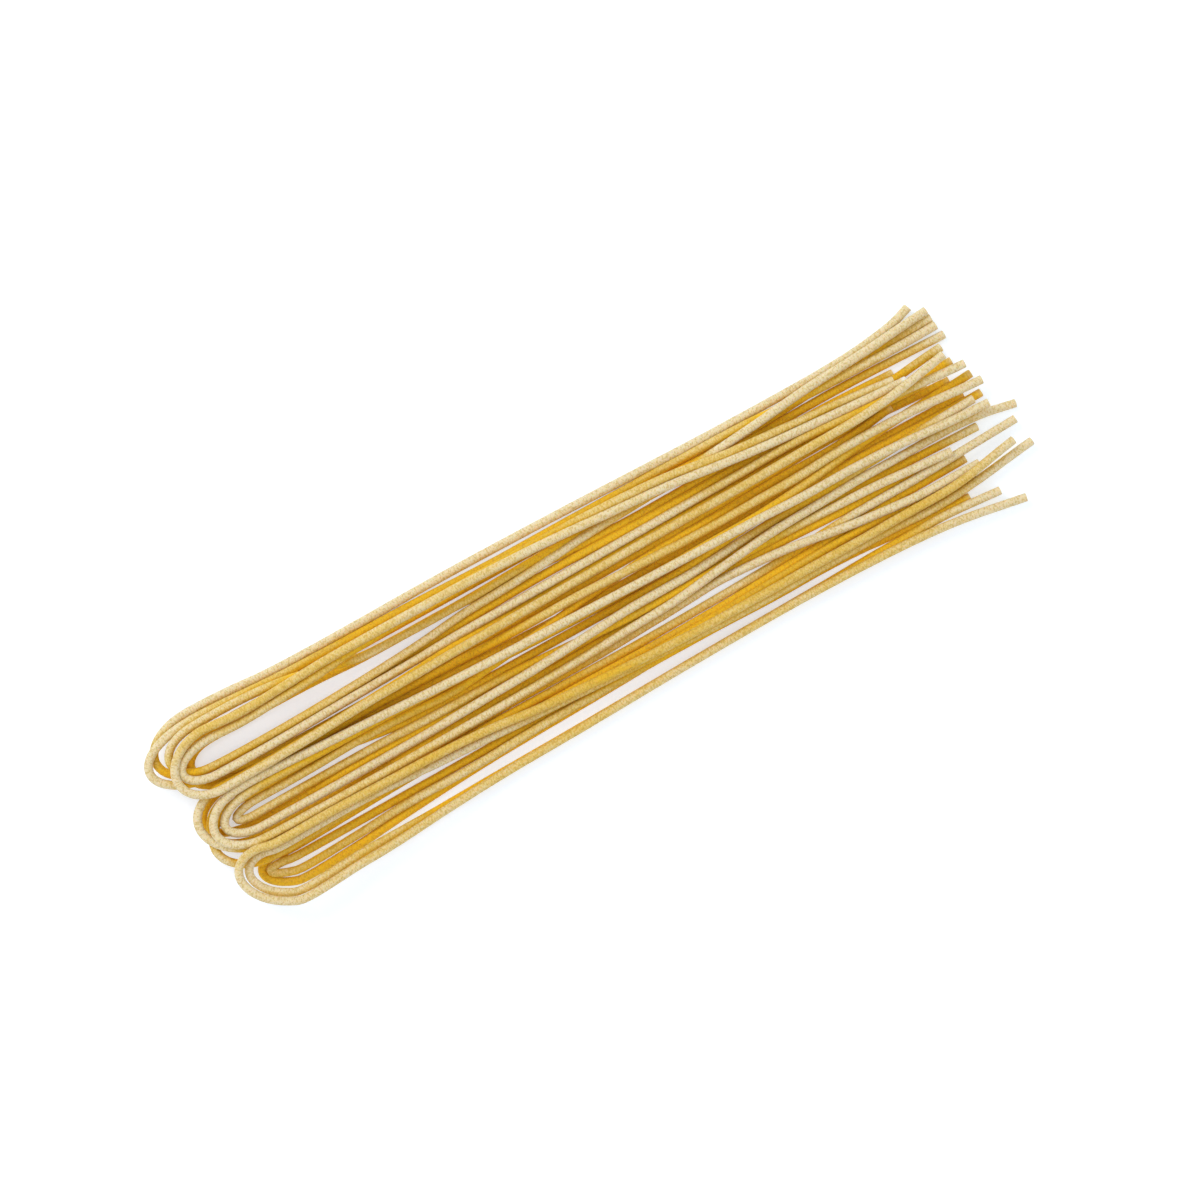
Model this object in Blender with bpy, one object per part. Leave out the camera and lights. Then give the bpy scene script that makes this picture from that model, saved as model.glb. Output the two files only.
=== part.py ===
"""Bundle of dry spaghetti, folded once over a drying rod.

Each strand is a hairpin: two long legs that lie along X, with the bend at the -X end and two
blunt cut tips at the +X end. The hairpins lie loosely on one another, so the bundle is
modelled as one solid out to its uneven outline: every hairpin is an arch that follows the
strand on top and reaches straight down to the surface that the bundle lies on, and the arches
are joined. The slits between the strands, where that surface shows, stay open.

Metres, +Z up. The origin is in the middle of the underside.
"""

import math

import bmesh
import bpy
import numpy as np

MM = 0.001

# Driving dimensions.
STRAND_DIAMETER = 2.5 * MM
STRAND_RADIUS = STRAND_DIAMETER / 2

# How a strand settles on those below it.
CONTACT_SHARE = 0.9             # spacing of two touching strands, as a share of the diameter
SPRING_RADIUS = 300 * MM        # how tightly a strand bends over what it lies on
SLIP_REACH = 0.6 * MM           # how far a strand rolls sideways into a groove
SLIP_WAYS = 9                   # sideways places that are tried
SLIP_STAY = 1500.0              # cost of lying off its own line, per metre squared
SLIP_TURN = 12000.0             # cost of changing place along the strand, per metre squared
ROUTE_STEP = 1.0 * MM
SMOOTH_SLIP = 6                 # steps of the smoothing along the strand
SMOOTH_HEIGHT = 4

# How finely an arch follows its strand.
STATION_TURN = 17.0             # degrees turned between two stations
STATION_STEP = 18               # route steps between two stations on a straight leg
ARCH_ACROSS = (-1.0, 1.0, 1.0, 0.5, -0.5, -1.0)     # an arch's corners, as shares of the strand's radius:
ARCH_ABOVE = (0.0, 0.0, 0.3, 1.0, 1.0, 0.3)         # the first two stand at its foot
BEND_ANGLES = (18, 36, 54, 72, 90, 108, 126, 144, 162)
FOOT_DEPTH = 1.0 * MM           # the arches start this far under the surface, and are cut off at it
FOOT_STAGGER = 0.1 * MM         # each one a little deeper than the last, so that no two feet share a plane
FLAT_ANGLE = 0.1                # degrees between two faces that are joined into one
SHARP_ANGLE = 35                # degrees between two faces that meet in a crease
SLAB_SIZE = 400 * MM

PASTA_COLOR = (0.72, 0.50, 0.20, 1.0)
PASTA_ROUGHNESS = 0.62

# The hairpins from the lowest to the topmost, in millimetres: the X of the bend's far end, how
# far the bend leans along Y, and the points of the two legs from the bend to the tip.
HAIRPINS = (
    (-111.0, 2.0,
     ((-103, -18.0), (-60, -17.0), (-20, -17.8), (20, -18.2), (50, -17.3), (80, -15.8), (108, -15.3)),
     ((-103, -26.6), (-85, -26.2), (-70, -25.0), (-45, -23.4), (0, -22.2), (40, -20.6), (70, -20.0),
      (90, -21.2), (108, -20.6))),
    (-109.0, 1.5,
     ((-102, -20.4), (-70, -20.6), (-40, -20.5), (0, -19.7), (40, -19.3), (70, -18.6), (90, -18.4),
      (107, -18.3)),
     ((-102, -24.0), (-85, -23.7), (-65, -23.2), (-45, -23.0), (-25, -22.3), (0, -22.0), (40, -22.0),
      (70, -22.9), (85, -24.2), (104, -24.9))),
    (-118.4, 0.0,
     ((-106, 5.0), (-70, 3.4), (-40, 1.7), (0, 0.4), (40, 0.2), (80, 0.2), (115.9, -0.2)),
     ((-106, -7.4), (-60, -7.3), (-20, -8.2), (10, -7.8), (40, -7.0), (70, -7.8), (90, -8.5),
      (115, -9.4))),
    (-117.2, 0.0,
     ((-106, 2.6), (-80, 1.4), (-60, -0.6), (-20, -0.9), (20, -1.9), (60, -2.3), (90, -3.2),
      (104, -4.2)),
     ((-106, -11.2), (-60, -11.2), (-20, -10.4), (20, -10.0), (50, -10.6), (70, -11.5), (90, -12.0),
      (104, -12.6))),
    (-118.5, 0.0,
     ((-106, 0.4), (-80, 0.2), (-68, -2.0), (-56, -3.7), (-20, -4.2), (20, -4.1), (50, -2.4),
      (80, -1.3), (120.2, -1.6)),
     ((-104, -17.6), (-60, -15.9), (-20, -16.0), (20, -15.7), (45, -15.2), (80, -13.8), (105, -13.2),
      (124.7, -12.6))),
    (-114.0, 0.0,
     ((-106, 18.2), (-75, 18.0), (-60, 17.2), (-30, 16.9), (0, 15.2), (20, 14.4), (50, 14.6),
      (80, 15.0), (102.2, 14.1)),
     ((-106, 8.6), (-60, 9.3), (-20, 10.1), (20, 10.3), (60, 10.3), (90, 9.6), (117.5, 9.3))),
    (-115.4, 0.0,
     ((-106, 19.9), (-60, 20.2), (-20, 20.0), (20, 19.8), (60, 19.4), (85, 20.6), (118.4, 22.1)),
     ((-106, 6.2), (-60, 6.3), (-20, 5.6), (20, 5.5), (60, 6.6), (85, 6.8), (100, 5.9), (114.3, 5.0))),
    (-110.0, -0.3,
     ((-103, -1.6), (-75, -1.6), (-55, -2.1), (-42, -2.7), (-30, -1.7), (-10, 0.4), (10, 2.4),
      (25, 4.0), (60, 4.5), (80, 4.7), (97, 6.6)),
     ((-103, -5.9), (-50, -5.8), (-30, -6.0), (-15, -7.0), (10, -8.4), (40, -8.6), (60, -9.0),
      (80, -9.9), (95, -11.4), (105.3, -12.3))),
    (-112.9, -0.3,
     ((-103, 0.6), (-70, 0.0), (-40, -0.6), (-10, -1.2), (20, -1.8), (45, -1.9), (65, -0.8), (85, 1.4),
      (103, 3.2), (120.2, 4.1)),
     ((-103, -9.2), (-65, -8.8), (-45, -8.6), (-25, -8.0), (-5, -7.3), (15, -6.6), (35, -5.8),
      (55, -4.8), (75, -3.9), (100, -2.8), (117.3, -2.3))),
    (-121.1, 0.3,
     ((-107, 27.3), (-95, 26.9), (-85, 26.1), (-70, 25.7), (-30, 25.7), (0, 25.2), (25, 24.5),
      (55, 23.7), (90, 23.7), (102, 24.7), (109, 25.9), (114.3, 27.6)),
     ((-107, 10.6), (-70, 11.2), (-40, 11.9), (-10, 12.8), (20, 12.7), (50, 12.5), (80, 11.6),
      (116.7, 13.9))),
    (-123.4, 0.3,
     ((-107, 25.2), (-95, 24.6), (-85, 24.0), (-65, 23.4), (-45, 23.2), (-20, 22.4), (10, 22.0),
      (50, 21.6), (80, 20.2), (118.4, 20.1)),
     ((-107, 9.4), (-90, 5.0), (-60, 4.1), (-30, 3.8), (0, 3.0), (20, 2.6), (40, 2.3), (70, 2.5),
      (100, 2.8), (121.7, 1.2))),
    (-117.6, 0.0,
     ((-108, 23.6), (-92, 23.4), (-80, 22.2), (-70, 19.8), (-60, 17.6), (-45, 17.0), (-15, 17.0),
      (10, 17.3), (60, 17.5), (90, 17.5), (119.3, 16.5)),
     ((-107, 11.2), (-85, 11.1), (-65, 11.7), (-45, 12.6), (-25, 14.2), (-5, 15.4), (15, 16.5),
      (35, 18.0), (55, 19.6), (75, 21.1), (90, 22.0), (118, 23.9))),
    (-118.9, 2.0,
     ((-105, 5.6), (-80, 5.3), (-60, 6.0), (-40, 7.4), (-20, 8.4), (20, 8.8), (60, 8.8), (85, 8.3),
      (108, 7.6)),
     ((-105, -13.4), (-75, -13.0), (-35, -12.9), (-5, -13.2), (15, -12.4), (33, -11.2), (45, -11.9),
      (55, -13.2), (65, -14.8), (75, -16.4), (90, -17.9), (110.4, -18.2))),
    (-115.9, 0.0,
     ((-104, 2.4), (-95, 2.2), (-75, 1.5), (-55, 0.6), (-35, -0.3), (-5, -1.1), (25, -1.9), (55, -2.3),
      (75, -2.9), (95, -3.5), (105, -4.1), (120.2, -5.1)),
     ((-105, -12.4), (-75, -12.7), (-45, -12.7), (-15, -12.2), (5, -11.5), (20, -10.7), (35, -9.0),
      (55, -7.3), (75, -6.2), (90, -6.5), (102, -6.3), (111, -6.5), (118, -7.2), (127, -9.0))),
    (-113.2, 3.0,
     ((-104, -16.0), (-85, -15.9), (-65, -16.5), (-45, -17.7), (-25, -19.1), (-5, -20.2), (15, -21.2),
      (35, -22.0), (60, -22.1), (80, -22.2), (95, -22.6), (110, -21.6), (125.7, -19.9)),
     ((-104, -28.4), (-85, -28.1), (-65, -28.4), (-45, -28.1), (-20, -27.8), (20, -27.0), (60, -26.4),
      (80, -25.8), (95, -25.7), (111.8, -27.2))),
    (-115.5, 3.8,
     ((-104, -14.4), (-85, -14.6), (-65, -15.4), (-45, -16.3), (-25, -18.0), (0, -19.6), (20, -20.5),
      (40, -20.8), (60, -20.8), (80, -20.9), (100, -20.2), (121.2, -17.2)),
     ((-104, -30.8), (-85, -30.3), (-65, -29.4), (-45, -28.5), (-15, -27.9), (15, -27.1), (45, -26.7),
      (75, -27.0), (87, -27.6), (100, -29.3), (117, -32.4))),
    (-115.7, -0.3,
     ((-106, 18.2), (-95, 17.8), (-75, 18.8), (-55, 20.0), (-35, 20.9), (-5, 21.2), (15, 20.6),
      (35, 19.2), (55, 16.9), (75, 14.9), (85, 14.0), (101, 12.2)),
     ((-106, 8.8), (-85, 8.9), (-55, 9.4), (-25, 9.9), (15, 10.3), (50, 10.5), (70, 10.2), (90, 9.0),
      (119.6, 7.3))),
    (-117.3, -1.0,
     ((-106, 20.9), (-95, 20.2), (-80, 20.5), (-55, 21.0), (-25, 20.9), (0, 20.1), (20, 18.9),
      (35, 17.6), (55, 15.1), (75, 12.7), (90, 11.6), (103.8, 10.9)),
     ((-106, 4.7), (-85, 5.1), (-65, 5.9), (-45, 6.4), (-15, 6.9), (15, 7.3), (55, 7.5), (80, 8.0),
      (95, 8.5), (105, 9.7), (115.5, 11.9))),
)


def clear_objects():
    for item in list(bpy.data.objects):
        bpy.data.objects.remove(item, do_unlink=True)


def smooth_curve(points, step):
    """A centripetal Catmull-Rom curve through the points, sampled about every step."""
    inner = np.asarray(points, dtype=float)
    points = np.vstack([2 * inner[0] - inner[1], inner, 2 * inner[-1] - inner[-2]])
    knots = np.concatenate([[0.0], np.cumsum(np.sqrt(np.linalg.norm(np.diff(points, axis=0), axis=1)))])
    pieces = []
    for i in range(1, len(points) - 2):
        count = max(2, int(np.ceil(np.linalg.norm(points[i + 1] - points[i]) / step)))
        place = np.linspace(knots[i], knots[i + 1], count, endpoint=False)[:, None]

        def between(low, high, start, end):
            return ((knots[end] - place) * low + (place - knots[start]) * high) / (knots[end] - knots[start])

        first = between(points[i - 1], points[i], i - 1, i)
        middle = between(points[i], points[i + 1], i, i + 1)
        last = between(points[i + 1], points[i + 2], i + 1, i + 2)
        early = between(first, middle, i - 1, i + 1)
        late = between(middle, last, i, i + 2)
        pieces.append(between(early, late, i, i + 1))
    pieces.append(points[-2:-1])
    return np.vstack(pieces)


def even_steps(points, step):
    """The same line with its points evenly spaced along it."""
    along = np.concatenate([[0.0], np.cumsum(np.linalg.norm(np.diff(points, axis=0), axis=1))])
    places = np.linspace(0.0, along[-1], int(round(along[-1] / step)) + 1)
    return np.column_stack([np.interp(places, along, points[:, 0]), np.interp(places, along, points[:, 1])])


def hairpin_route(hairpin):
    """The line of one hairpin as seen from above, from the upper tip round the bend to the lower one."""
    bend, lean, upper, lower = hairpin
    middle = (upper[0][1] + lower[0][1]) / 2
    half = (upper[0][1] - lower[0][1]) / 2
    depth = (upper[0][0] + lower[0][0]) / 2 - bend
    angles = np.radians(BEND_ANGLES)
    loop = np.column_stack([bend + depth * (1 - np.sin(angles)),
                            middle + half * np.cos(angles) + lean * np.sin(angles)])
    line = np.vstack([np.array(upper[::-1], dtype=float), loop, np.array(lower, dtype=float)])
    return even_steps(smooth_curve(line * MM, ROUTE_STEP / 2), ROUTE_STEP)


def smoothed(values, width):
    """The values with a bell-shaped average along the strand."""
    reach = int(2.5 * width)
    weights = np.exp(-0.5 * (np.arange(-reach, reach + 1) / width) ** 2)
    return np.convolve(np.pad(values, reach, mode="edge"), weights / weights.sum(), mode="valid")


def support_heights(line, laid):
    """How high the strand's centre lies at each point: on the surface, or on the strands laid so far."""
    heights = np.full(len(line), STRAND_RADIUS)
    contact = CONTACT_SHARE * STRAND_DIAMETER
    block = 100
    for start in range(0, len(line), block):
        part = line[start:start + block]
        near = laid[(laid[:, 0] > part[:, 0].min() - contact) & (laid[:, 0] < part[:, 0].max() + contact)]
        if len(near) == 0:
            continue
        across = (part[:, None, 0] - near[None, :, 0]) ** 2 + (part[:, None, 1] - near[None, :, 1]) ** 2
        room = contact ** 2 - across
        resting = np.where(room > 0, near[None, :, 2] + np.sqrt(np.maximum(room, 0)), STRAND_RADIUS)
        heights[start:start + block] = np.maximum(heights[start:start + block], resting.max(axis=1))
    return heights


def slip_sideways(line, laid):
    """Roll the strand into the grooves below it: the cheapest way along it through a few side places."""
    along = np.gradient(line, axis=0)
    along /= np.linalg.norm(along, axis=1)[:, None]
    side = np.column_stack([-along[:, 1], along[:, 0]])
    ways = np.linspace(-SLIP_REACH, SLIP_REACH, SLIP_WAYS)
    costs = [support_heights(line + side * way, laid) + SLIP_STAY * way ** 2 for way in ways]
    costs = np.stack(costs, axis=1)
    turn = SLIP_TURN * (ways[:, None] - ways[None, :]) ** 2
    best = costs[0]
    choices = []
    for cost in costs[1:]:
        total = best[:, None] + turn
        choices.append(total.argmin(axis=0))
        best = total.min(axis=0) + cost
    place = best.argmin()
    places = [place]
    for choice in reversed(choices):
        place = choice[place]
        places.append(place)
    offsets = smoothed(ways[np.array(places[::-1])], SMOOTH_SLIP)
    return line + side * offsets[:, None]


def lay_hairpins():
    """Lay the hairpins one after another and return the centre line of each."""
    laid = np.empty((0, 3))
    routes = []
    for hairpin in HAIRPINS:
        line = hairpin_route(hairpin)
        if len(laid):
            line = slip_sideways(line, laid)
        heights = support_heights(line, laid)
        places = np.arange(len(line)) * ROUTE_STEP
        sag = (places[:, None] - places[None, :]) ** 2 / (2 * SPRING_RADIUS)
        heights = smoothed((heights[None, :] - sag).max(axis=1), SMOOTH_HEIGHT)
        route = np.column_stack([line, heights])
        routes.append(route)
        laid = np.vstack([laid, route])
    return routes


def pick_stations(route):
    """Fewer points along a route: one wherever the strand has turned or gone on far enough.

    The far end of the bend and the highest point always count, as they set the bundle's size.
    """
    along = np.gradient(route[:, :2], axis=0)
    heading = np.degrees(np.unwrap(np.arctan2(along[:, 1], along[:, 0])))
    kept = (route[:, 0].argmin(), route[:, 2].argmax())
    picked = [0]
    for i in range(1, len(route) - 1):
        turned = abs(heading[i] - heading[picked[-1]])
        if turned >= STATION_TURN or i - picked[-1] >= STATION_STEP or i in kept:
            picked.append(i)
    if len(route) - 1 - picked[-1] < STATION_STEP / 3:
        picked.pop()
    picked.append(len(route) - 1)
    return np.array(picked)


def make_arch(name, route, foot):
    """One hairpin as a closed arch: round on top, with upright sides down to the foot."""
    stations = pick_stations(route)
    centers = route[stations]
    along = np.gradient(route[:, :2], axis=0)[stations]
    along /= np.linalg.norm(along, axis=1)[:, None]
    side = np.column_stack([-along[:, 1], along[:, 0]])
    across = STRAND_RADIUS * np.array(ARCH_ACROSS)
    above = STRAND_RADIUS * np.array(ARCH_ABOVE)
    corners = len(across)
    rings = np.empty((len(centers), corners, 3))
    rings[:, :, 0] = centers[:, None, 0] + side[:, None, 0] * across
    rings[:, :, 1] = centers[:, None, 1] + side[:, None, 1] * across
    rings[:, :, 2] = centers[:, None, 2] + above
    rings[:, :2, 2] = foot
    last = corners * (len(centers) - 1)
    faces = [tuple(range(corners)), tuple(last + k for k in reversed(range(corners)))]
    for start in range(0, last, corners):
        for k in range(corners):
            after = (k + 1) % corners
            faces.append((start + k, start + corners + k, start + corners + after, start + after))
    mesh = bpy.data.meshes.new(name)
    mesh.from_pydata([tuple(point) for point in rings.reshape(-1, 3)], [], faces)
    return bpy.data.objects.new(name, mesh)


def make_slab(size):
    """A block that stands on the surface and is larger than the bundle on every other side."""
    mesh = bpy.data.meshes.new("slab")
    block = bmesh.new()
    bmesh.ops.create_cube(block, size=size)
    bmesh.ops.translate(block, verts=block.verts, vec=(0.0, 0.0, size / 2))
    block.to_mesh(mesh)
    block.free()
    return bpy.data.objects.new("slab", mesh)


def join_arches(arches, slab):
    """The arches as one closed mesh, cut off at the surface that the bundle lies on."""
    scene_items = bpy.context.scene.collection.objects
    others = bpy.data.collections.new("other_arches")
    for arch in arches[1:]:
        others.objects.link(arch)
    first = arches[0]
    scene_items.link(first)
    scene_items.link(slab)
    union = first.modifiers.new("join", "BOOLEAN")
    union.operation = "UNION"
    union.operand_type = "COLLECTION"
    union.collection = others
    union.solver = "EXACT"
    cut = first.modifiers.new("cut_at_surface", "BOOLEAN")
    cut.operation = "INTERSECT"
    cut.object = slab
    cut.solver = "EXACT"
    joined = bpy.data.meshes.new_from_object(first.evaluated_get(bpy.context.evaluated_depsgraph_get()))
    for item in (*arches, slab):
        bpy.data.objects.remove(item, do_unlink=True)
    bpy.data.collections.remove(others)
    return joined


def tidy_mesh(mesh):
    """Join flat faces, split the rest into triangles and centre the bundle; return its size."""
    body = bmesh.new()
    body.from_mesh(mesh)
    bmesh.ops.dissolve_limit(body, angle_limit=math.radians(FLAT_ANGLE), verts=body.verts, edges=body.edges)
    bmesh.ops.triangulate(body, faces=body.faces)
    places = np.array([vert.co for vert in body.verts])
    low, high = places.min(axis=0), places.max(axis=0)
    middle = (low + high) / 2
    bmesh.ops.translate(body, verts=body.verts, vec=(-middle[0], -middle[1], -low[2]))
    body.to_mesh(mesh)
    body.free()
    return high - low


def make_pasta_material():
    material = bpy.data.materials.new("dry_pasta")
    material.use_nodes = True
    surface = material.node_tree.nodes["Principled BSDF"]
    surface.inputs["Base Color"].default_value = PASTA_COLOR
    surface.inputs["Roughness"].default_value = PASTA_ROUGHNESS
    surface.inputs["Metallic"].default_value = 0.0
    return material


def make_bundle():
    arches = []
    for number, route in enumerate(lay_hairpins()):
        foot = -FOOT_DEPTH - number * FOOT_STAGGER
        arches.append(make_arch("arch_" + str(number), route, foot))
    mesh = join_arches(arches, make_slab(SLAB_SIZE))
    mesh.name = "spaghetti_bundle"
    mesh.materials.clear()
    mesh.materials.append(make_pasta_material())
    size = tidy_mesh(mesh)
    mesh.shade_smooth()
    mesh.set_sharp_from_angle(angle=math.radians(SHARP_ANGLE))
    bundle = bpy.data.objects.new("spaghetti_bundle", mesh)
    bpy.context.scene.collection.objects.link(bundle)
    print("bundle size, mm:", np.round(size / MM, 2))


clear_objects()
make_bundle()
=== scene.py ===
"""Bundle of dry spaghetti: the strands themselves, their rough dusty surface with painted light and shade,
and the studio.
"""

import math

import bpy
import numpy as np
from bpy.props import FloatProperty, FloatVectorProperty, IntProperty, PointerProperty
from bpy.types import Operator, Panel, PropertyGroup
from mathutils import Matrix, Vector


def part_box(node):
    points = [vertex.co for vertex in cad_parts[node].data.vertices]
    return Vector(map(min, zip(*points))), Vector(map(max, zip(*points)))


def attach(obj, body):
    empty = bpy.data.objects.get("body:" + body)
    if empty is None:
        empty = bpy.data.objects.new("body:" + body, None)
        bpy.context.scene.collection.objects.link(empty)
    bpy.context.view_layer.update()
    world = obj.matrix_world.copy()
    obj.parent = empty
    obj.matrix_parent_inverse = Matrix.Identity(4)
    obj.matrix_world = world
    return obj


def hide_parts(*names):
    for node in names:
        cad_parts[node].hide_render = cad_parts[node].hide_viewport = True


bl_info = {
    "name": "Dry Spaghetti Bundle",
    "version": (1, 0, 0),
    "blender": (4, 5, 0),
    "location": "View3D > Sidebar > Pasta",
    "description": "Folded spaghetti strands that lie on one another, with their finish and a studio",
    "category": "Object",
}

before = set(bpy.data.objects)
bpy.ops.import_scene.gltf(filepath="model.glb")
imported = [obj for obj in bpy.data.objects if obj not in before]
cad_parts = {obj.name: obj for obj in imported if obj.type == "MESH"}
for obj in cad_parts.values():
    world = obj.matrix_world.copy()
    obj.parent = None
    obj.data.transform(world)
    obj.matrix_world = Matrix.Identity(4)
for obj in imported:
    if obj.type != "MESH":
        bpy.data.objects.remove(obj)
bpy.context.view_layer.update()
BUNDLE_NODE = "spaghetti_bundle"
BUNDLE_LOW, BUNDLE_HIGH = (np.array(corner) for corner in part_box(BUNDLE_NODE))

MM = 0.001

# How a strand settles on those below it, as in the solid bundle.
STRAND_DIAMETER = 2.5 * MM
STRAND_RADIUS = STRAND_DIAMETER / 2
CONTACT_SHARE = 0.9
SPRING_RADIUS = 300 * MM
SLIP_REACH = 0.6 * MM
SLIP_WAYS = 9
SLIP_STAY = 1500.0
SLIP_TURN = 12000.0
ROUTE_STEP = 1.0 * MM
SMOOTH_SLIP = 6
SMOOTH_HEIGHT = 4
BEND_ANGLES = (18, 36, 54, 72, 90, 108, 126, 144, 162)

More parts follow.
